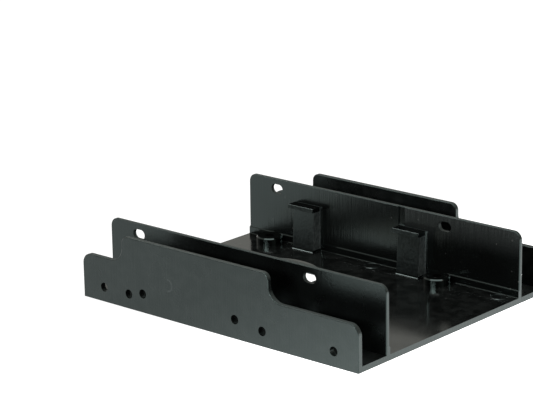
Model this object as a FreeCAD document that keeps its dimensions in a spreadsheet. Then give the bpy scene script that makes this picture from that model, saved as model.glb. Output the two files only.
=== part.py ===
import FreeCAD
import Part
import Sketcher
import os

# Dual drive mounting frame: one injection moulding, built as one body.
# Frame: origin at the middle of the underside, +X along the length, +Y across, +Z up, millimetres.

NODE = "drive_frame"

# Sizes, each a plain number; places along the frame are measured from its left end.
SIZES = [
    ("frame_length", 121.6),
    ("frame_width", 101.6),
    ("floor_thickness", 2.0),
    ("outer_wall_height", 25.2),
    ("outer_wall_foot", 2.1),
    ("outer_wall_top", 1.8),
    ("inner_wall_height", 25.1),
    ("inner_wall_foot", 1.6),
    ("inner_wall_top", 1.4),
    ("bay_width", 70.4),
    ("wall_lean", 0.15),
    ("rail_reach", 0.3),
    ("rail_foot_bevel", 0.2),
    ("tall_start", 19.0),
    ("tall_end", 84.6),
    ("step_drop", 9.4),
    ("step_fillet", 5.5),
    ("tall_corner", 2.6),
    ("low_corner", 3.7),
    ("inner_corner", 3.0),
    ("side_hole_dia", 3.2),
    ("end_hole_pitch", 101.6),
    ("end_hole_z", 5.2),
    ("pair_hole_start", 21.8),
    ("pair_hole_pitch", 60.0),
    ("mid_hole_start", 28.4),
    ("mid_hole_pitch", 41.6),
    ("mid_hole_z", 6.6),
    ("slot_start", 13.5),
    ("slot_pitch", 76.6),
    ("slot_drop", 3.8),
    ("slot_length", 5.4),
    ("slot_width", 3.5),
    ("boss_across", 61.72),
    ("boss_dia", 9.6),
    ("boss_height", 2.7),
    ("boss_bevel", 0.4),
    ("boss_hole_dia", 3.2),
    ("post_start", 24.8),
    ("post_width", 9.6),
    ("post_pitch", 47.8),
    ("post_depth", 4.6),
    ("post_lean", 1.0),
    ("post_below_slot", 3.0),
    ("lip_reach", 1.2),
    ("lip_height", 1.4),
    ("lip_side", 2.0),
    ("lip_slope", 0.4),
    ("root_round", 1.2),
    ("foot_round", 0.7),
    ("swell_middle", 84.4),
    ("swell_length", 16.0),
    ("swell_reach", 1.8),
    ("swell_drop", 1.6),
    ("recess_start", 69.8),
    ("recess_width", 2.8),
    ("recess_depth", 0.4),
    ("window_middle", 39.6),
    ("window_length", 31.6),
    ("window_width", 32.0),
    ("window_corner", 4.0),
    ("pin_ring_start", 60.6),
    ("pin_ring_end", 6.0),
    ("pin_ring_across", 64.4),
    ("pin_ring_dia", 5.8),
    ("pin_ring_width", 0.8),
    ("pin_ring_height", 0.2),
    ("edge_round", 0.3),
    ("edge_bevel", 0.25),
]

# Places worked out from the sizes.
DERIVED = [
    ("half_length", "=frame_length / 2"),
    ("half_width", "=frame_width / 2"),
    ("outer_foot_in", "=half_width - outer_wall_foot"),
    ("outer_top_in", "=half_width - outer_wall_top"),
    ("inner_foot_in", "=bay_width / 2"),
    ("inner_top_in", "=bay_width / 2 + wall_lean"),
    ("inner_foot_out", "=inner_foot_in + inner_wall_foot"),
    ("inner_top_out", "=inner_top_in + inner_wall_top"),
    ("rail_in", "=inner_foot_in - rail_reach"),
    ("wall_cut_depth", "=(half_width - inner_foot_out) / 2"),
    ("boss_top", "=floor_thickness + boss_height"),
    ("rail_shoulder", "=boss_top - rail_reach"),
    ("rail_foot", "=floor_thickness + rail_foot_bevel"),
    ("rail_toe", "=rail_in - rail_foot_bevel"),
    ("low_wall_height", "=outer_wall_height - step_drop"),
    ("over_top", "=outer_wall_height + 5"),
    ("past_end", "=half_length + 5"),
    ("tall_left", "=tall_start - half_length"),
    ("tall_right", "=tall_end - half_length"),
    ("fillet_step", "=min(step_fillet; 0.6 * step_drop)"),
    ("corner_tall", "=min(tall_corner; 0.3 * step_drop)"),
    ("corner_low", "=min(low_corner; 0.5 * low_wall_height)"),
    ("tall_left_in", "=tall_left + corner_tall"),
    ("tall_right_in", "=tall_right - corner_tall"),
    ("tall_shoulder", "=outer_wall_height - corner_tall"),
    ("fillet_left_x", "=tall_left - fillet_step"),
    ("fillet_right_x", "=tall_right + fillet_step"),
    ("fillet_z", "=low_wall_height + fillet_step"),
    ("low_end_in", "=half_length - corner_low"),
    ("low_shoulder", "=low_wall_height - corner_low"),
    ("inner_end_in", "=half_length - inner_corner"),
    ("inner_shoulder", "=inner_wall_height - inner_corner"),
    ("end_hole_right", "=end_hole_pitch / 2"),
    ("pair_hole_left", "=pair_hole_start - half_length"),
    ("pair_hole_right", "=pair_hole_left + pair_hole_pitch"),
    ("mid_hole_left", "=mid_hole_start - half_length"),
    ("mid_hole_right", "=mid_hole_left + mid_hole_pitch"),
    ("slot_left", "=slot_start - half_length"),
    ("slot_right", "=slot_left + slot_pitch"),
    ("slot_z", "=inner_wall_height - slot_drop"),
    ("slot_round", "=slot_width / 2"),
    ("slot_left_a", "=slot_left - slot_length / 2 + slot_round"),
    ("slot_left_b", "=slot_left + slot_length / 2 - slot_round"),
    ("slot_right_a", "=slot_right - slot_length / 2 + slot_round"),
    ("slot_right_b", "=slot_right + slot_length / 2 - slot_round"),
    ("boss_y", "=boss_across / 2"),
    ("sunk_z", "=floor_thickness / 2"),
    ("boss_radius", "=boss_dia / 2"),
    ("boss_flat", "=boss_radius - boss_bevel"),
    ("boss_shoulder", "=boss_top - boss_bevel"),
    ("post_top", "=slot_z - post_below_slot"),
    ("lip_under", "=post_top - lip_height"),
    ("post_root", "=inner_foot_in + 0.6 * inner_wall_foot"),
    ("post_foot", "=inner_foot_in - post_depth"),
    ("post_neck", "=post_foot + post_lean"),
    ("lip_nose", "=post_neck - lip_reach"),
    ("lip_brow", "=lip_nose + lip_slope"),
    ("post_middle", "=post_start + post_width / 2 - half_length"),
    ("post_left", "=post_middle - post_width / 2"),
    ("post_right", "=post_middle + post_width / 2"),
    ("post_left_in", "=post_left + 0.1 * post_width"),
    ("post_right_in", "=post_right - 0.1 * post_width"),
    ("root_left", "=post_left - root_round"),
    ("root_right", "=post_right + root_round"),
    ("root_end", "=inner_foot_in + wall_lean + 0.05"),
    ("root_begin", "=root_end - root_round"),
    ("root_rise", "=post_top - sunk_z"),
    ("cap_width", "=post_width + lip_side"),
    ("cap_middle", "=post_middle - lip_side / 2"),
    ("swell_centre", "=swell_middle - half_length"),
    ("swell_a", "=swell_centre - swell_length / 2"),
    ("swell_b", "=swell_centre + swell_length / 2"),
    ("swell_base", "=inner_top_in + 0.2"),
    ("swell_round", "=(swell_length ^ 2 / 4 + (swell_reach + 0.2) ^ 2) / (2 * (swell_reach + 0.2))"),
    ("swell_under", "=inner_wall_height - swell_drop"),
    ("recess_a", "=recess_start - half_length"),
    ("recess_b", "=recess_a + recess_width"),
    ("recess_plane", "=inner_foot_in - 2"),
    ("recess_reach", "=2 + 0.9 * wall_lean + recess_depth"),
    ("window_left", "=window_middle - window_length / 2 - half_length"),
    ("window_right", "=window_left + window_length"),
    ("window_side", "=window_width / 2"),
    ("corner_window", "=min(window_corner; 0.4 * window_length; 0.4 * window_width)"),
    ("window_left_in", "=window_left + corner_window"),
    ("window_right_in", "=window_right - corner_window"),
    ("window_side_in", "=window_side - corner_window"),
    ("pin_ring_place", "=pin_ring_start - half_length"),
    ("pin_ring_pitch", "=frame_length - pin_ring_start - pin_ring_end"),
    ("pin_ring_y", "=pin_ring_across / 2"),
    ("ring_crest", "=pin_ring_dia / 2"),
    ("ring_inside", "=ring_crest - pin_ring_width / 2"),
    ("ring_outside", "=ring_crest + pin_ring_width / 2"),
    ("ring_top", "=floor_thickness + pin_ring_height"),
]

doc = FreeCAD.newDocument("drive_frame_model")
sheet = doc.addObject("Spreadsheet::Sheet", "sizes")
for row, (alias, value) in enumerate(SIZES + DERIVED, start=1):
    sheet.set(f"A{row}", alias)
    sheet.set(f"B{row}", str(value))
    sheet.setAlias(f"B{row}", alias)
doc.recompute()

body = doc.addObject("PartDesign::Body", "frame_body")
body.Label = NODE


def number(term):
    """The present value of an alias, or of an alias with a minus sign."""
    if term == "0":
        return 0.0
    if term.startswith("-"):
        return -float(sheet.get(term[1:]))
    return float(sheet.get(term))


def formula(term):
    """The expression that binds a size to the sheet."""
    if term.startswith("-"):
        return "-sizes." + term[1:]
    return "sizes." + term


def origin_part(role):
    """The body's own origin plane or axis with the given role."""
    for item in body.Origin.OriginFeatures:
        if item.Role == role:
            return item
    raise RuntimeError("no origin part " + role)


def new_sketch(name, role, offset="0", along="0"):
    """A sketch on an origin plane of the body, moved along the plane's normal and x by named values."""
    sketch = body.newObject("Sketcher::SketchObject", name)
    sketch.AttachmentSupport = [(origin_part(role), "")]
    sketch.MapMode = "FlatFace"
    place = FreeCAD.Vector(number(along), 0, number(offset))
    sketch.AttachmentOffset = FreeCAD.Placement(place, FreeCAD.Rotation())
    for axis, term in (("x", along), ("z", offset)):
        if term != "0":
            sketch.setExpression("AttachmentOffset.Base." + axis, formula(term))
    return sketch


def bind(sketch, constraint, term):
    """Adds a dimension to a sketch and binds it to a named value."""
    index = sketch.addConstraint(constraint)
    sketch.setExpression(f"Constraints[{index}]", formula(term))


def hold(sketch, geometry, end, x_term, y_term):
    """Fixes a point of a sketch at two named coordinates."""
    for kind, axis, term in (("DistanceX", -2, x_term), ("DistanceY", -1, y_term)):
        if term == "0":
            sketch.addConstraint(Sketcher.Constraint("PointOnObject", geometry, end, axis))
        else:
            bind(sketch, Sketcher.Constraint(kind, -1, 1, geometry, end, number(term)), term)


def outline(sketch, corners):
    """A closed loop through named corners; (radius, side) makes the run to the next corner an arc.

    Side +1 swells to the left of the direction of travel and -1 to the right."""
    points = [FreeCAD.Vector(number(c[0]), number(c[1]), 0) for c in corners]
    count = len(points)
    starts, ends = [], []
    for i, corner in enumerate(corners):
        a, b = points[i], points[(i + 1) % count]
        if len(corner) == 2:
            line = sketch.addGeometry(Part.LineSegment(a, b), False)
            starts.append((line, 1))
            ends.append((line, 2))
            continue
        radius, side = corner[2]
        size = number(radius)
        chord = b - a
        left = FreeCAD.Vector(-chord.y, chord.x, 0).normalize() * side
        rise = size - (size ** 2 - chord.Length ** 2 / 4) ** 0.5
        arc = sketch.addGeometry(Part.Arc(a, (a + b) * 0.5 + left * rise, b), False)
        first = sketch.getPoint(arc, 1).distanceToPoint(a) < sketch.getPoint(arc, 2).distanceToPoint(a)
        starts.append((arc, 1 if first else 2))
        ends.append((arc, 2 if first else 1))
        bind(sketch, Sketcher.Constraint("Radius", arc, size), radius)
    for i in range(count):
        tail, head = ends[i - 1], starts[i]
        sketch.addConstraint(Sketcher.Constraint("Coincident", tail[0], tail[1], head[0], head[1]))
        hold(sketch, head[0], head[1], corners[i][0], corners[i][1])


def circle(sketch, x_term, y_term, diameter):
    """A circle with a named centre and diameter."""
    centre = FreeCAD.Vector(number(x_term), number(y_term), 0)
    ring = Part.Circle(centre, FreeCAD.Vector(0, 0, 1), number(diameter) / 2)
    index = sketch.addGeometry(ring, False)
    hold(sketch, index, 3, x_term, y_term)
    bind(sketch, Sketcher.Constraint("Diameter", index, number(diameter)), diameter)


def obround(sketch, x_left, x_right, z_term, radius):
    """A level slot with round ends at two named centres."""
    a = FreeCAD.Vector(number(x_left), number(z_term), 0)
    b = FreeCAD.Vector(number(x_right), number(z_term), 0)
    up = FreeCAD.Vector(0, number(radius), 0)
    side = FreeCAD.Vector(number(radius), 0, 0)
    top = sketch.addGeometry(Part.LineSegment(a + up, b + up), False)
    low = sketch.addGeometry(Part.LineSegment(a - up, b - up), False)
    right = sketch.addGeometry(Part.Arc(b - up, b + side, b + up), False)
    left = sketch.addGeometry(Part.Arc(a + up, a - side, a - up), False)
    for line, end, arc, tip in ((low, 2, right, 1), (top, 2, right, 2), (top, 1, left, 1), (low, 1, left, 2)):
        sketch.addConstraint(Sketcher.Constraint("Tangent", line, end, arc, tip))
    hold(sketch, right, 3, x_right, z_term)
    bind(sketch, Sketcher.Constraint("DistanceX", -1, 1, left, 3, a.x), x_left)
    bind(sketch, Sketcher.Constraint("Radius", right, number(radius)), radius)


done = []


def settle(feature, grows):
    """Makes a feature the body's tip and checks that it added or took away material."""
    body.Tip = feature
    doc.recompute()
    shape = feature.Shape
    if shape.isNull() or not shape.isValid() or "Invalid" in feature.State:
        raise RuntimeError(f"{feature.Name} failed: {feature.State}")
    before = done[-1].Shape.Volume if done else 0.0
    if (shape.Volume > before) != grows:
        raise RuntimeError(f"{feature.Name} went the wrong way: {before} to {shape.Volume}")
    if len(shape.Solids) != 1:
        raise RuntimeError(f"{feature.Name} left {len(shape.Solids)} solids")
    done.append(feature)
    print(f"{feature.Name}: {shape.Volume:.1f} mm3")
    return feature


def extrude(kind, name, sketch, length, side="One side", flip=False, through=False):
    """A pad or pocket with a named length."""
    feature = body.newObject("PartDesign::" + kind, name)
    feature.Profile = sketch
    feature.SideType = side
    feature.Reversed = flip
    if through:
        feature.Type = "ThroughAll"
    else:
        feature.Length = number(length)
        feature.setExpression("Length", formula(length))
    return settle(feature, kind == "Pad")


def mirrored(name, feature, role, grows):
    """The same feature on the other side of an origin plane."""
    copy = body.newObject("PartDesign::Mirrored", name)
    copy.Originals = [feature]
    copy.MirrorPlane = (origin_part(role), [""])
    return settle(copy, grows)


def pattern(name, features, pitch):
    """The same features once more, a named distance along the frame."""
    copies = body.newObject("PartDesign::LinearPattern", name)
    copies.Originals = features
    copies.Direction = (origin_part("X_Axis"), [""])
    copies.Mode = "Extent"
    copies.Occurrences = 2
    copies.Length = number(pitch)
    copies.setExpression("Length", formula(pitch))
    return settle(copies, True)


def soften(kind, name, test, size, grows):
    """A fillet or chamfer on the last feature's edges that pass a test of edge, middle and normals."""
    shape = done[-1].Shape
    chosen = []
    for index, edge in enumerate(shape.Edges, start=1):
        middle = edge.valueAt((edge.FirstParameter + edge.LastParameter) / 2)
        normals = []
        for face in shape.ancestorsOfType(edge, Part.Face):
            u, v = face.Surface.parameter(middle)
            normals.append(face.normalAt(u, v))
        if len(normals) == 2 and test(edge, middle, normals):
            chosen.append(f"Edge{index}")
    feature = body.newObject("PartDesign::" + kind, name)
    feature.Base = (done[-1], chosen)
    measure = "Radius" if kind == "Fillet" else "Size"
    setattr(feature, measure, number(size))
    feature.setExpression(measure, formula(size))
    return settle(feature, grows)


# Floor, side walls and bay walls as one drawn section, with their draft and the low bevelled rails.
half = [
    ("half_width", "0"),
    ("half_width", "outer_wall_height"),
    ("outer_top_in", "outer_wall_height"),
    ("outer_foot_in", "floor_thickness"),
    ("inner_foot_out", "floor_thickness"),
    ("inner_top_out", "inner_wall_height"),
    ("inner_top_in", "inner_wall_height"),
    ("inner_foot_in", "boss_top"),
    ("rail_in", "rail_shoulder"),
    ("rail_in", "rail_foot"),
    ("rail_toe", "floor_thickness"),
]
section = new_sketch("wall_section", "YZ_Plane")
outline(section, half + [("-" + y, z) for y, z in reversed(half)])
extrude("Pad", "floor_and_walls", section, "frame_length", side="Symmetric")

# Stepped tops of the side walls: the low ends leave the bay slots open to a screwdriver.
steps = new_sketch("side_wall_steps", "XZ_Plane", "half_width")
outline(steps, [
    ("tall_right_in", "outer_wall_height", ("corner_tall", 1)),
    ("tall_right", "tall_shoulder"),
    ("tall_right", "fillet_z", ("fillet_step", -1)),
    ("fillet_right_x", "low_wall_height"),
    ("low_end_in", "low_wall_height", ("corner_low", 1)),
    ("half_length", "low_shoulder"),
    ("past_end", "low_shoulder"),
    ("past_end", "over_top"),
    ("tall_right_in", "over_top"),
])
outline(steps, [
    ("tall_left_in", "outer_wall_height", ("corner_tall", -1)),
    ("tall_left", "tall_shoulder"),
    ("tall_left", "fillet_z", ("fillet_step", 1)),
    ("fillet_left_x", "low_wall_height"),
    ("-low_end_in", "low_wall_height", ("corner_low", -1)),
    ("-half_length", "low_shoulder"),
    ("-past_end", "low_shoulder"),
    ("-past_end", "over_top"),
    ("tall_left_in", "over_top"),
])
front_steps = extrude("Pocket", "front_steps", steps, "wall_cut_depth")
mirrored("rear_steps", front_steps, "XZ_Plane", False)

# Round top corners of the two bay walls.
corners = new_sketch("bay_wall_corners", "XZ_Plane")
for sign, side in (("", 1), ("-", -1)):
    outline(corners, [
        (sign + "inner_end_in", "inner_wall_height", ("inner_corner", side)),
        (sign + "half_length", "inner_shoulder"),
        (sign + "past_end", "inner_shoulder"),
        (sign + "past_end", "over_top"),
        (sign + "inner_end_in", "over_top"),
    ])
extrude("Pocket", "bay_wall_round_corners", corners, None, side="Symmetric", through=True)

# Lens-shaped swelling of the front bay wall's top edge, on the inside.
swell = new_sketch("wall_swelling_plan", "XY_Plane", "swell_under")
outline(swell, [
    ("swell_b", "-swell_base", ("swell_round", -1)),
    ("swell_a", "-swell_base"),
])
extrude("Pad", "wall_swelling", swell, "swell_drop")

# Posts with overhanging caps and round roots, at both bay walls.
post = new_sketch("post_section", "YZ_Plane", "post_middle")
profile = [
    ("post_root", "sunk_z"),
    ("post_root", "post_top"),
    ("post_neck", "post_top"),
    ("post_foot", "floor_thickness"),
    ("post_foot", "sunk_z"),
]
outline(post, profile)
outline(post, [("-" + y, z) for y, z in profile])
first_posts = extrude("Pad", "first_posts", post, "post_width", side="Symmetric")
cap = new_sketch("cap_section", "YZ_Plane", "cap_middle")
profile = [
    ("post_root", "lip_under"),
    ("post_root", "post_top"),
    ("lip_brow", "post_top"),
    ("lip_nose", "lip_under"),
]
outline(cap, profile)
outline(cap, [("-" + y, z) for y, z in profile])
first_caps = extrude("Pad", "first_caps", cap, "cap_width", side="Symmetric")
roots = new_sketch("post_roots_plan", "XY_Plane", "sunk_z")
for sign, turn in (("", 1), ("-", -1)):
    for side, tip, within, swell_to in (("post_right", "root_right", "post_right_in", turn),
                                        ("post_left", "root_left", "post_left_in", -turn)):
        outline(roots, [
            (side, sign + "root_begin", ("root_round", swell_to)),
            (tip, sign + "root_end"),
            (tip, sign + "post_root"),
            (within, sign + "post_root"),
            (within, sign + "root_begin"),
        ])
first_roots = extrude("Pad", "first_roots", roots, "root_rise")
pattern("all_posts", [first_posts, first_caps, first_roots], "post_pitch")

# Screw bosses on the floor, turned with a bevelled rim.
first_bosses = []
for name, across in (("rear_boss", "-boss_y"), ("front_boss", "boss_y")):
    turned = new_sketch(name + "_section", "XZ_Plane", across, "slot_left")
    outline(turned, [
        ("0", "sunk_z"),
        ("boss_radius", "sunk_z"),
        ("boss_radius", "boss_shoulder"),
        ("boss_flat", "boss_top"),
        ("0", "boss_top"),
    ])
    boss = body.newObject("PartDesign::Revolution", name)
    boss.Profile = turned
    boss.ReferenceAxis = (turned, ["V_Axis"])
    boss.Angle = 360
    first_bosses.append(settle(boss, True))
pattern("all_bosses", first_bosses, "slot_pitch")

# Screw holes: through the bosses, the side walls and the bay walls.
bores = new_sketch("boss_holes_plan", "XY_Plane")
for x in ("slot_left", "slot_right"):
    for y in ("boss_y", "-boss_y"):
        circle(bores, x, y, "boss_hole_dia")
extrude("Pocket", "boss_holes", bores, None, side="Symmetric", through=True)

sides = new_sketch("side_holes_plan", "XZ_Plane", "half_width")
for x, z in (("-end_hole_right", "end_hole_z"), ("end_hole_right", "end_hole_z"),
             ("pair_hole_left", "end_hole_z"), ("pair_hole_right", "end_hole_z"),
             ("mid_hole_left", "mid_hole_z"), ("mid_hole_right", "mid_hole_z")):
    circle(sides, x, z, "side_hole_dia")
front_holes = extrude("Pocket", "front_side_holes", sides, "wall_cut_depth")
mirrored("rear_side_holes", front_holes, "XZ_Plane", False)

slots = new_sketch("bay_slots_plan", "XZ_Plane")
obround(slots, "slot_left_a", "slot_left_b", "slot_z", "slot_round")
obround(slots, "slot_right_a", "slot_right_b", "slot_z", "slot_round")
extrude("Pocket", "bay_slots", slots, None, side="Symmetric", through=True)

# Shallow upright recess in the rear bay wall, beside the second post.
strip = new_sketch("recess_plan", "XZ_Plane", "-recess_plane")
outline(strip, [
    ("recess_a", "post_top"),
    ("recess_b", "post_top"),
    ("recess_b", "over_top"),
    ("recess_a", "over_top"),
])
extrude("Pocket", "wall_recess", strip, "recess_reach")

# Window in the floor, seen through the front bay slot.
window = new_sketch("floor_window_plan", "XY_Plane")
outline(window, [
    ("window_left_in", "-window_side"),
    ("window_right_in", "-window_side", ("corner_window", -1)),
    ("window_right", "-window_side_in"),
    ("window_right", "window_side_in", ("corner_window", -1)),
    ("window_right_in", "window_side"),
    ("window_left_in", "window_side", ("corner_window", -1)),
    ("window_left", "window_side_in"),
    ("window_left", "-window_side_in", ("corner_window", -1)),
])
extrude("Pocket", "floor_window", window, None, side="Symmetric", through=True)

# Fine rings that the mould's ejector pins left on the floor.
flash = new_sketch("pin_ring_section", "XZ_Plane", "-pin_ring_y", "pin_ring_place")
outline(flash, [
    ("ring_inside", "sunk_z"),
    ("ring_outside", "sunk_z"),
    ("ring_outside", "floor_thickness"),
    ("ring_crest", "ring_top"),
    ("ring_inside", "floor_thickness"),
])
first_ring = body.newObject("PartDesign::Revolution", "first_pin_ring")
first_ring.Profile = flash
first_ring.ReferenceAxis = (flash, ["V_Axis"])
first_ring.Angle = 360
settle(first_ring, True)
pattern("pin_rings", [first_ring], "pin_ring_pitch")

# Softened edges, as the mould leaves them: on the walls' rims, the caps' noses and the feet of the posts.
SIZE = {alias: number(alias) for alias, value in SIZES + DERIVED}


def is_rim(edge, middle, normals):
    """True for an edge between a wall's side and its rim or end, holes and slots left out."""
    across = sorted(abs(normal.y) for normal in normals)
    if across[0] > 0.05 or across[1] < 0.95 or edge.isClosed():
        return False
    beside_slot = abs(middle.z - SIZE["slot_z"]) < SIZE["slot_round"] + 0.2
    in_slot = beside_slot and abs(middle.x) < SIZE["half_length"] - 0.1
    return edge.BoundBox.ZMax > SIZE["boss_top"] + 0.5 and not in_slot


def is_outer_rim(edge, middle, normals):
    """True for a rim on the outside of a side wall."""
    return is_rim(edge, middle, normals) and abs(middle.y) > SIZE["half_width"] - 0.1


def is_inner_rim(edge, middle, normals):
    """True for any other rim of a wall, the recess and the swelling left out."""
    across = abs(middle.y)
    at_top = edge.BoundBox.ZMax > SIZE["inner_wall_height"] - 0.01
    in_bay = at_top and abs(across - SIZE["inner_top_in"]) < 0.1
    in_channel = SIZE["inner_top_in"] + 0.1 < across < SIZE["half_width"] - 0.1
    return is_rim(edge, middle, normals) and (in_bay or in_channel)


def is_cap_edge(edge, middle, normals):
    """True for the top edge at the nose of a cap."""
    level = abs(middle.z - SIZE["post_top"]) < 0.01 and edge.BoundBox.ZLength < 0.01
    return level and abs(abs(middle.y) - SIZE["lip_brow"]) < 0.01


def is_foot_edge(edge, middle, normals):
    """True for the edge between a post's front and the floor."""
    level = abs(middle.z - SIZE["floor_thickness"]) < 0.01
    return level and abs(abs(middle.y) - SIZE["post_foot"]) < 0.01


soften("Fillet", "outer_rim_rounds", is_outer_rim, "edge_round", False)
soften("Chamfer", "inner_rim_bevels", is_inner_rim, "edge_bevel", False)
soften("Fillet", "nose_rounds", is_cap_edge, "edge_round", False)
soften("Fillet", "foot_rounds", is_foot_edge, "foot_round", True)

doc.recompute()
for item in doc.Objects:
    if "Invalid" in item.State or "Error" in item.State:
        raise RuntimeError(f"{item.Name} is {item.State}")
shape = body.Shape
if shape.isNull() or not shape.isValid() or len(shape.Solids) != 1:
    raise RuntimeError("the body is not one valid solid")
os.makedirs("parts", exist_ok=True)
shape.exportStep("parts/" + NODE + ".step")
box = shape.optimalBoundingBox()
print(f"{NODE}: {shape.Volume:.1f} mm3, {box.XLength:.2f} x {box.YLength:.2f} x {box.ZLength:.2f} mm")
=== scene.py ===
import math

import bpy
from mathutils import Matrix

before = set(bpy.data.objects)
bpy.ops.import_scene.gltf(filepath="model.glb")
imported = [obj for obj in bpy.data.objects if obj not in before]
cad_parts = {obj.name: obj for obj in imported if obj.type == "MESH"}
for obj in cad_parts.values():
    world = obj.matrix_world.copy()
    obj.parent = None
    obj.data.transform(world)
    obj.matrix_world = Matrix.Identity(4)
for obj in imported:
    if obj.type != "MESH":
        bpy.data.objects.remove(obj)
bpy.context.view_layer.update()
drive_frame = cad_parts["drive_frame"]

# Camera at the photograph's viewing angle
CAMERA_PLACE = (0.46644, -0.54955, 0.24326)
CAMERA_TURN = (73.8021, 0.9282, 41.3131)
CAMERA_LENS = 149.2467
CAMERA_SENSOR = 36.0
CAMERA_NEAR = 0.01
CAMERA_FAR = 20.0

camera_data = bpy.data.cameras.new("camera")
camera_data.sensor_width = CAMERA_SENSOR
camera_data.lens = CAMERA_LENS
camera_data.clip_start = CAMERA_NEAR
camera_data.clip_end = CAMERA_FAR
camera = bpy.data.objects.new("camera", camera_data)
camera.location = CAMERA_PLACE
camera.rotation_euler = [math.radians(angle) for angle in CAMERA_TURN]
bpy.context.scene.collection.objects.link(camera)
bpy.context.scene.camera = camera
bpy.context.scene.view_settings.view_transform = "Standard"

# Half the width of a sharp change, and the numbers of a colour mix's sockets
EDGE = 0.0001
MIX_AMOUNT = 0
MIX_BASE = 6
MIX_SHADE = 7
MIX_RESULT = 2


class Paint:
    """A material built from nodes, in its object's own coordinates and in metres."""

    def __init__(self, name):
        self.material = bpy.data.materials.new(name)
        self.material.use_nodes = True
        self.tree = self.material.node_tree
        self.shader = self.tree.nodes["Principled BSDF"].inputs
        coordinates = self.node("ShaderNodeTexCoord").outputs
        self.place = coordinates["Object"]
        self.x, self.y, self.z = self.node("ShaderNodeSeparateXYZ", Vector=self.place).outputs
        facing = self.node("ShaderNodeSeparateXYZ", Vector=coordinates["Normal"]).outputs
        self.lean, self.front, self.rise = facing

    def feed(self, socket, value):
        """Sets a socket to a value or links another socket to it."""
        if isinstance(value, bpy.types.NodeSocket):
            self.tree.links.new(value, socket)
        else:
            socket.default_value = value

    def node(self, kind, **inputs):
        """A new node, its inputs named with _ for a space."""
        made = self.tree.nodes.new(kind)
        for name, value in inputs.items():
            self.feed(made.inputs[name.replace("_", " ")], value)
        return made

    def calc(self, operation, *terms):
        """A sum over numbers and sockets."""
        made = self.tree.nodes.new("ShaderNodeMath")
        made.operation = operation
        for socket, value in zip(made.inputs, terms):
            self.feed(socket, value)
        return made.outputs[0]

    def chain(self, operation, terms):
        """One operation carried along a row of terms."""
        result = terms[0]
        for term in terms[1:]:
            result = self.calc(operation, result, term)
        return result

    def size(self, value):
        """A value without its sign."""
        return self.calc("ABSOLUTE", value)

    def away(self, value, middle):
        """How far a value lies from a middle, with its sign."""
        return self.calc("SUBTRACT", value, middle)

    def both(self, *masks):
        """The place where all the masks hold."""
        return self.chain("MULTIPLY", masks)

    def either(self, *masks):
        """The place where any of the masks holds."""
        return self.chain("MAXIMUM", masks)

    def without(self, mask):
        """The place that a mask leaves out."""
        return self.calc("SUBTRACT", 1.0, mask)

    def ramp(self, value, span, ends):
        """A value carried smoothly from a span to new ends and held at both."""
        made = self.node("ShaderNodeMapRange", Value=value,
                         From_Min=span[0], From_Max=span[1], To_Min=ends[0], To_Max=ends[1])
        made.interpolation_type = "SMOOTHSTEP"
        return made.outputs["Result"]

    def rising(self, value, span):
        """A mask that comes in over a span of a value."""
        return self.ramp(value, span, (0.0, 1.0))

    def falling(self, value, span):
        """A mask that goes out over a span of a value."""
        return self.ramp(value, span, (1.0, 0.0))

    def between(self, value, span):
        """The place where a value lies inside a span."""
        low, high = span
        return self.both(self.rising(value, (low - EDGE, low + EDGE)),
                         self.falling(value, (high - EDGE, high + EDGE)))

    def beside(self, places, reach):
        """The place within a reach of the nearer of two places along x."""
        nearest = self.calc("MINIMUM", *[self.size(self.away(self.x, middle)) for middle in places])
        return self.falling(nearest, (reach - EDGE, reach + EDGE))

    def blend(self, amount, first, second):
        """One number turned into another by an amount."""
        return self.node("ShaderNodeMix", Factor=amount, A=first, B=second).outputs["Result"]

    def tint(self, amount, base, shade):
        """A colour turned towards a shade by an amount."""
        made = self.tree.nodes.new("ShaderNodeMix")
        made.data_type = "RGBA"
        self.feed(made.inputs[MIX_AMOUNT], amount)
        self.feed(made.inputs[MIX_BASE], base)
        self.feed(made.inputs[MIX_SHADE], shade)
        return made.outputs[MIX_RESULT]

    def grain(self, stretch, detail):
        """Noise with a number of grains per metre along each axis."""
        mapping = self.node("ShaderNodeMapping", Vector=self.place, Scale=stretch).outputs["Vector"]
        return self.node("ShaderNodeTexNoise", Vector=mapping, Scale=1.0, Detail=detail).outputs["Fac"]


# Pale floor, lit from within like a light table and brighter to the right
FLOOR_SIZE = 6.0
FLOOR_PLACE = (0.0, 0.0, -0.0002)
FLOOR_PALE = (0.1, 0.1, 0.1, 1.0)
FLOOR_ROUGHNESS = 0.8
GLOW_WHITE = (1.0, 1.0, 1.0, 1.0)
GLOW_SHADED = (1.0, 0.94, 0.8, 1.0)
GLOW_SPAN = (-0.04, 0.09)
GLOW_ENDS = (0.97, 2.3)

# Soft shade on it, under the frame and beside the left end, cut off aslant at the front
SHADE = 0.3
SHADE_LEFT = (-0.083, -0.063)
SHADE_RIGHT = (0.056, 0.062)
SHADE_FRONT = (-0.05, -0.044)
SHADE_BACK = (-0.012, 0.012)
SHADE_SLANT = 0.78
SHADE_CORNER = (-0.101, -0.096)

bpy.ops.object.select_all(action="DESELECT")
bpy.ops.mesh.primitive_plane_add(size=FLOOR_SIZE, location=FLOOR_PLACE)
floor = bpy.context.object
floor.name = "pale_floor"
table = Paint("pale_floor")
table.shader["Base Color"].default_value = FLOOR_PALE
table.shader["Roughness"].default_value = FLOOR_ROUGHNESS
table.shader["Specular IOR Level"].default_value = 0.0
aslant = table.calc("ADD", table.x, table.calc("MULTIPLY", table.y, SHADE_SLANT))
shaded = table.both(table.rising(table.x, SHADE_LEFT),
                    table.falling(table.x, SHADE_RIGHT),
                    table.rising(aslant, SHADE_CORNER),
                    table.rising(table.y, SHADE_FRONT),
                    table.falling(table.y, SHADE_BACK))
glow = table.both(table.ramp(table.x, GLOW_SPAN, GLOW_ENDS), table.blend(shaded, 1.0, SHADE))
table.feed(table.shader["Emission Color"], table.tint(shaded, GLOW_WHITE, GLOW_SHADED))
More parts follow.
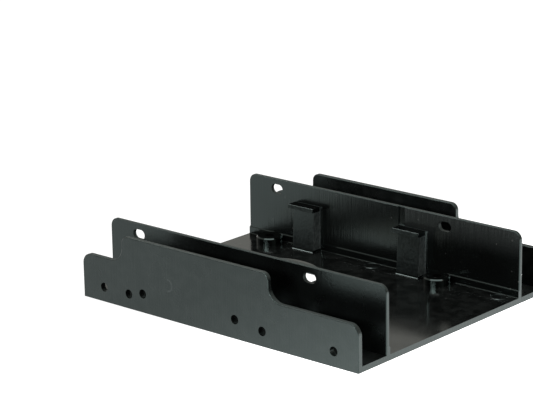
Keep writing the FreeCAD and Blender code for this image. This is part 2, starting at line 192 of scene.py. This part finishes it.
table.feed(table.shader["Emission Strength"], glow)
floor.data.materials.append(table.material)

# Room light: a pale backdrop behind and above, a dim room on the camera's side
ROOM_TINT = (1.0, 0.97, 0.9, 1.0)
ROOM_DIM = 0.12
ROOM_PALE = 0.57
ROOM_AXIS = (0.0, 1.0, 0.9)
ROOM_LOW = -0.35
ROOM_HIGH = 0.25

world = bpy.data.worlds.new("studio")
world.use_nodes = True
world_nodes = world.node_tree.nodes
world_links = world.node_tree.links
backdrop = world_nodes["Background"]
backdrop.inputs["Color"].default_value = ROOM_TINT
room_place = world_nodes.new("ShaderNodeTexCoord")
room_rise = world_nodes.new("ShaderNodeVectorMath")
room_rise.operation = "DOT_PRODUCT"
room_rise.inputs[1].default_value = ROOM_AXIS
room_light = world_nodes.new("ShaderNodeMapRange")
room_light.interpolation_type = "SMOOTHSTEP"
room_light.inputs["From Min"].default_value = ROOM_LOW
room_light.inputs["From Max"].default_value = ROOM_HIGH
room_light.inputs["To Min"].default_value = ROOM_DIM
room_light.inputs["To Max"].default_value = ROOM_PALE
world_links.new(room_place.outputs["Generated"], room_rise.inputs[0])
world_links.new(room_rise.outputs["Value"], room_light.inputs["Value"])
world_links.new(room_light.outputs["Result"], backdrop.inputs["Strength"])
bpy.context.scene.world = world

# Studio lamps: place, width, depth and power
SOFTBOXES = {
    "ceiling_softbox": ((-0.02, -0.04, 0.8), 0.8, 0.8, 5.5),
    "front_softbox": ((0.12, -0.8, 0.29), 0.4, 0.12, 7.0),
    "left_softbox": ((-0.5, 0.02, 0.69), 0.26, 0.26, 2.1),
}


def softbox(name, place, width, depth, power):
    """A rectangular area light at a place, turned towards the frame."""
    data = bpy.data.lights.new(name, "AREA")
    data.shape = "RECTANGLE"
    data.size = width
    data.size_y = depth
    data.energy = power
    lamp = bpy.data.objects.new(name, data)
    lamp.location = place
    lamp.rotation_euler = lamp.location.to_track_quat("Z", "Y").to_euler()
    bpy.context.scene.collection.objects.link(lamp)


for lamp_name, lamp_values in SOFTBOXES.items():
    softbox(lamp_name, *lamp_values)

# Black plastic
PLASTIC_IOR = 1.5
PLASTIC_TINT = (0.77, 1.0, 0.96, 1.0)

plastic = Paint("black_plastic")
plastic.shader["IOR"].default_value = PLASTIC_IOR
plastic.shader["Specular Tint"].default_value = PLASTIC_TINT

# Where the walls and the floor lie, by distance from the middle, height and slope
LEVEL_RISE = (0.3, 0.6)
FLOOR_TOP = (0.0021, 0.0025)
BAY_WALL_START = (0.0346, 0.035)
BAY_WALL_FACE = (0.0354, 0.0356)
BAY_WALL_BACK = (0.0362, 0.0366)
SIDE_WALL_START = (0.044, 0.046)
RIM_HEIGHT = (0.0145, 0.0155)

across = plastic.size(plastic.y)
height = plastic.z
upright = plastic.falling(plastic.size(plastic.rise), LEVEL_RISE)
level = plastic.without(upright)
on_floor = plastic.falling(height, FLOOR_TOP)
outside = plastic.rising(across, BAY_WALL_BACK)
inside = plastic.without(outside)
on_side = plastic.rising(across, SIDE_WALL_START)
near_wall = plastic.rising(across, BAY_WALL_START)
off_wall = plastic.without(near_wall)
on_bay_wall = plastic.both(upright, near_wall, plastic.falling(across, BAY_WALL_FACE))
on_rim = plastic.both(level, near_wall, plastic.rising(height, RIM_HEIGHT))

# Where the posts, caps, rails, bosses and slot ends lie
POST_PLACES = (-0.0312, 0.0166)
POST_REACH = 0.005
POST_HEIGHTS = (0.0027, 0.0168)
CAP_PLACES = (-0.0322, 0.0156)
CAP_REACH = 0.0062
CAP_HEIGHTS = (0.0168, 0.0186)
CAP_FRONT = (0.1, 0.3)
CAP_TOP_REACH = 0.0064
CAP_TOP_HEIGHTS = (0.0168, 0.0215)
RAIL_ACROSS = (0.0335, 0.0352)
RAIL_HEIGHTS = (0.0019, 0.006)
BOSS_PLACES = (-0.0473, 0.0293)
BOSS_REACH = 0.0055
BOSS_ACROSS = (0.0255, 0.0345)
BOSS_HEIGHTS = (0.0021, 0.006)
SLOT_LEAN = (0.2, 0.5)
SLOT_ACROSS = (0.035, 0.0368)
SLOT_HEIGHTS = (0.018, 0.0245)
SLOT_LIMIT = (0.05, 0.055)

on_post = plastic.both(upright, off_wall, plastic.beside(POST_PLACES, POST_REACH),
                       plastic.between(height, POST_HEIGHTS))
on_cap = plastic.both(plastic.rising(plastic.size(plastic.front), CAP_FRONT), off_wall,
                      plastic.beside(CAP_PLACES, CAP_REACH), plastic.between(height, CAP_HEIGHTS))
on_cap_top = plastic.both(level, off_wall, plastic.beside(CAP_PLACES, CAP_TOP_REACH),
                          plastic.between(height, CAP_TOP_HEIGHTS))
on_rail = plastic.both(level, plastic.between(across, RAIL_ACROSS), plastic.between(height, RAIL_HEIGHTS))
on_boss = plastic.both(plastic.beside(BOSS_PLACES, BOSS_REACH), plastic.between(across, BOSS_ACROSS),
                       plastic.between(height, BOSS_HEIGHTS))
slot_end = plastic.both(plastic.rising(plastic.lean, SLOT_LEAN), plastic.between(across, SLOT_ACROSS),
                        plastic.between(height, SLOT_HEIGHTS), plastic.falling(plastic.x, SLOT_LIMIT))
frosted = plastic.either(on_post, on_cap)
clean = plastic.either(on_rail, on_boss, on_cap_top)
dull = plastic.either(on_rim, slot_end)

# Grains: how many to the metre along each axis, and their detail
CLOUDS = ((60.0, 60.0, 60.0), 3.0)
BLOTCHES = ((1300.0, 1300.0, 900.0), 4.0)
DRAG_LINES = ((2600.0, 2600.0, 40.0), 2.0)
SATIN = ((1700.0, 1700.0, 1700.0), 2.0)
SPECKLE = ((2000.0, 2000.0, 1200.0), 2.0)
STREAKS = ((1500.0, 1500.0, 110.0), 3.0)
SMEARS = ((260.0, 260.0, 260.0), 4.0)

clouds = plastic.grain(*CLOUDS)
blotches = plastic.grain(*BLOTCHES)

# Relief: upright drag lines from the mould, a satin grain outside and a speckle on the posts
DRAG_OUTSIDE = 0.5
DRAG_FROSTED = 0.3
SATIN_SHARE = 0.5
SPECKLE_SHARE = 0.7
RELIEF_DEPTH = 0.00008

drag_lines = plastic.both(upright, plastic.grain(*DRAG_LINES), plastic.blend(outside, 1.0, DRAG_OUTSIDE),
                          plastic.blend(frosted, 1.0, DRAG_FROSTED))
satin = plastic.both(outside, plastic.grain(*SATIN), SATIN_SHARE)
speckle = plastic.both(frosted, plastic.grain(*SPECKLE), SPECKLE_SHARE)
relief = plastic.chain("ADD", (drag_lines, satin, speckle))
bump = plastic.node("ShaderNodeBump", Height=relief, Strength=1.0, Distance=RELIEF_DEPTH)
plastic.feed(plastic.shader["Normal"], bump.outputs["Normal"])

# Roughness: lowest on the floor, rails and bosses, satin outside, highest on the posts and rims
CLOUD_SPAN = (0.3, 0.7)
BLOTCH_SPAN = (0.36, 0.64)
WALL_ROUGH = (0.18, 0.24)
FLOOR_ROUGH = (0.11, 0.17)
OUTSIDE_ROUGH = (0.26, 0.32)
FROST_ROUGH = (0.28, 0.4)
CLEAN_ROUGH = 0.1
DULL_ROUGH = 0.55

rough = plastic.ramp(clouds, CLOUD_SPAN, WALL_ROUGH)
rough = plastic.blend(on_floor, rough, plastic.ramp(clouds, CLOUD_SPAN, FLOOR_ROUGH))
rough = plastic.blend(outside, rough, plastic.ramp(clouds, CLOUD_SPAN, OUTSIDE_ROUGH))
rough = plastic.blend(clean, rough, CLEAN_ROUGH)
rough = plastic.blend(frosted, rough, plastic.ramp(blotches, BLOTCH_SPAN, FROST_ROUGH))
rough = plastic.blend(dull, rough, DULL_ROUGH)
plastic.feed(plastic.shader["Roughness"], rough)

# Frost on the posts: a frosted finish of their own, with painted light making their right sides lighter
# and painted shade making them darker towards their tops, under the caps
FROST_MOTTLE = (0.45, 1.0)
POST_SHADE_HEIGHT = (0.004, 0.0168)
POST_SHADE_FADE = (1.0, 0.6)
POST_LIT_LEAN = (0.3, 0.7)
POST_LIT_SIDES = (0.075, 1.0)
CAP_FROST = 0.03

mottle = plastic.ramp(blotches, BLOTCH_SPAN, FROST_MOTTLE)
post_frost_and_painted_light = plastic.both(on_post, mottle, plastic.ramp(height, POST_SHADE_HEIGHT, POST_SHADE_FADE),
                          plastic.ramp(plastic.lean, POST_LIT_LEAN, POST_LIT_SIDES))
frost_and_painted_light = plastic.either(post_frost_and_painted_light, plastic.both(on_cap, mottle, CAP_FROST))

# Painted light along the bay walls' tops, laid in streaks, lighter upwards and right of the recess; the
# recess is left out so that it stays dark as painted shade
WALL_LIGHT_STREAKS = (0.3, 0.7)
WALL_LIGHT_AMOUNT = (0.7, 1.05)
WALL_LIGHT_HEIGHT = (0.014, 0.0265)
WALL_LIGHT_START = (0.0114, 0.0122)
WALL_LIGHT_SIDES = (0.08, 1.0)
RECESS = (0.009, 0.0118)

wall_top_painted_light = plastic.both(on_bay_wall, plastic.ramp(plastic.grain(*STREAKS), WALL_LIGHT_STREAKS, WALL_LIGHT_AMOUNT),
                     plastic.rising(height, WALL_LIGHT_HEIGHT),
                     plastic.ramp(plastic.x, WALL_LIGHT_START, WALL_LIGHT_SIDES),
                     plastic.without(plastic.between(plastic.x, RECESS)))

# Smudges on the floor and, more weakly, on the side walls
SMEAR_SPAN = (0.35, 0.7)
SMEAR_AMOUNT = (0.1, 1.0)
SIDE_SMEAR = 0.6

smeared = plastic.either(plastic.both(level, on_floor), plastic.both(on_side, SIDE_SMEAR))
smudge = plastic.both(smeared, plastic.ramp(plastic.grain(*SMEARS), SMEAR_SPAN, SMEAR_AMOUNT))

# Dust inside, as specks in some of the cells of a pattern
SPECK_CELLS = 330.0
SPECK_SIZE = (0.05, 0.12)
SPECK_CHOICE = (0.68, 0.7)

cells = plastic.node("ShaderNodeTexVoronoi", Vector=plastic.place, Scale=SPECK_CELLS).outputs
cell_number = plastic.node("ShaderNodeSeparateColor", Color=cells["Color"]).outputs["Red"]
speck = plastic.both(inside, plastic.falling(cells["Distance"], SPECK_SIZE),
                     plastic.rising(cell_number, SPECK_CHOICE))

# Faint half ring on the front side wall
MARK_X = -0.0207
MARK_Z = 0.012
MARK_RADIUS = 0.002
MARK_LINE = (0.0001, 0.0004)
MARK_HALF = (-0.0008, 0.0004)
MARK_FACE = (-0.0507, -0.0505)

mark_x = plastic.away(plastic.x, MARK_X)
mark_z = plastic.away(height, MARK_Z)
mark_square = plastic.calc("ADD", plastic.calc("POWER", mark_x, 2.0), plastic.calc("POWER", mark_z, 2.0))
off_mark = plastic.size(plastic.away(plastic.calc("SQRT", mark_square), MARK_RADIUS))
mark = plastic.both(plastic.falling(off_mark, MARK_LINE), plastic.rising(mark_x, MARK_HALF),
                    plastic.falling(plastic.y, MARK_FACE))

# Colour: black, with all of these laid over it
BLACK = (0.0008, 0.0008, 0.0008, 1.0)
# colour of the posts' frost, which also carries the painted light on their right sides and the painted
# shade under the caps
FROST_AND_PAINTED_LIGHT = (0.064, 0.074, 0.0735, 1.0)
# colour of the painted light along the bay walls' tops
WALL_TOP_LIGHT = (0.018, 0.0202, 0.0198, 1.0)
SMUDGE = (0.006, 0.0065, 0.0063, 1.0)
DUST = (0.035, 0.035, 0.034, 1.0)
MARK = (0.016, 0.017, 0.017, 1.0)

colour = BLACK
for amount, shade in ((frost_and_painted_light, FROST_AND_PAINTED_LIGHT), (wall_top_painted_light, WALL_TOP_LIGHT), (smudge, SMUDGE), (speck, DUST), (mark, MARK)):
    colour = plastic.tint(amount, colour, shade)
plastic.feed(plastic.shader["Base Color"], colour)

drive_frame.data.materials.clear()
drive_frame.data.materials.append(plastic.material)
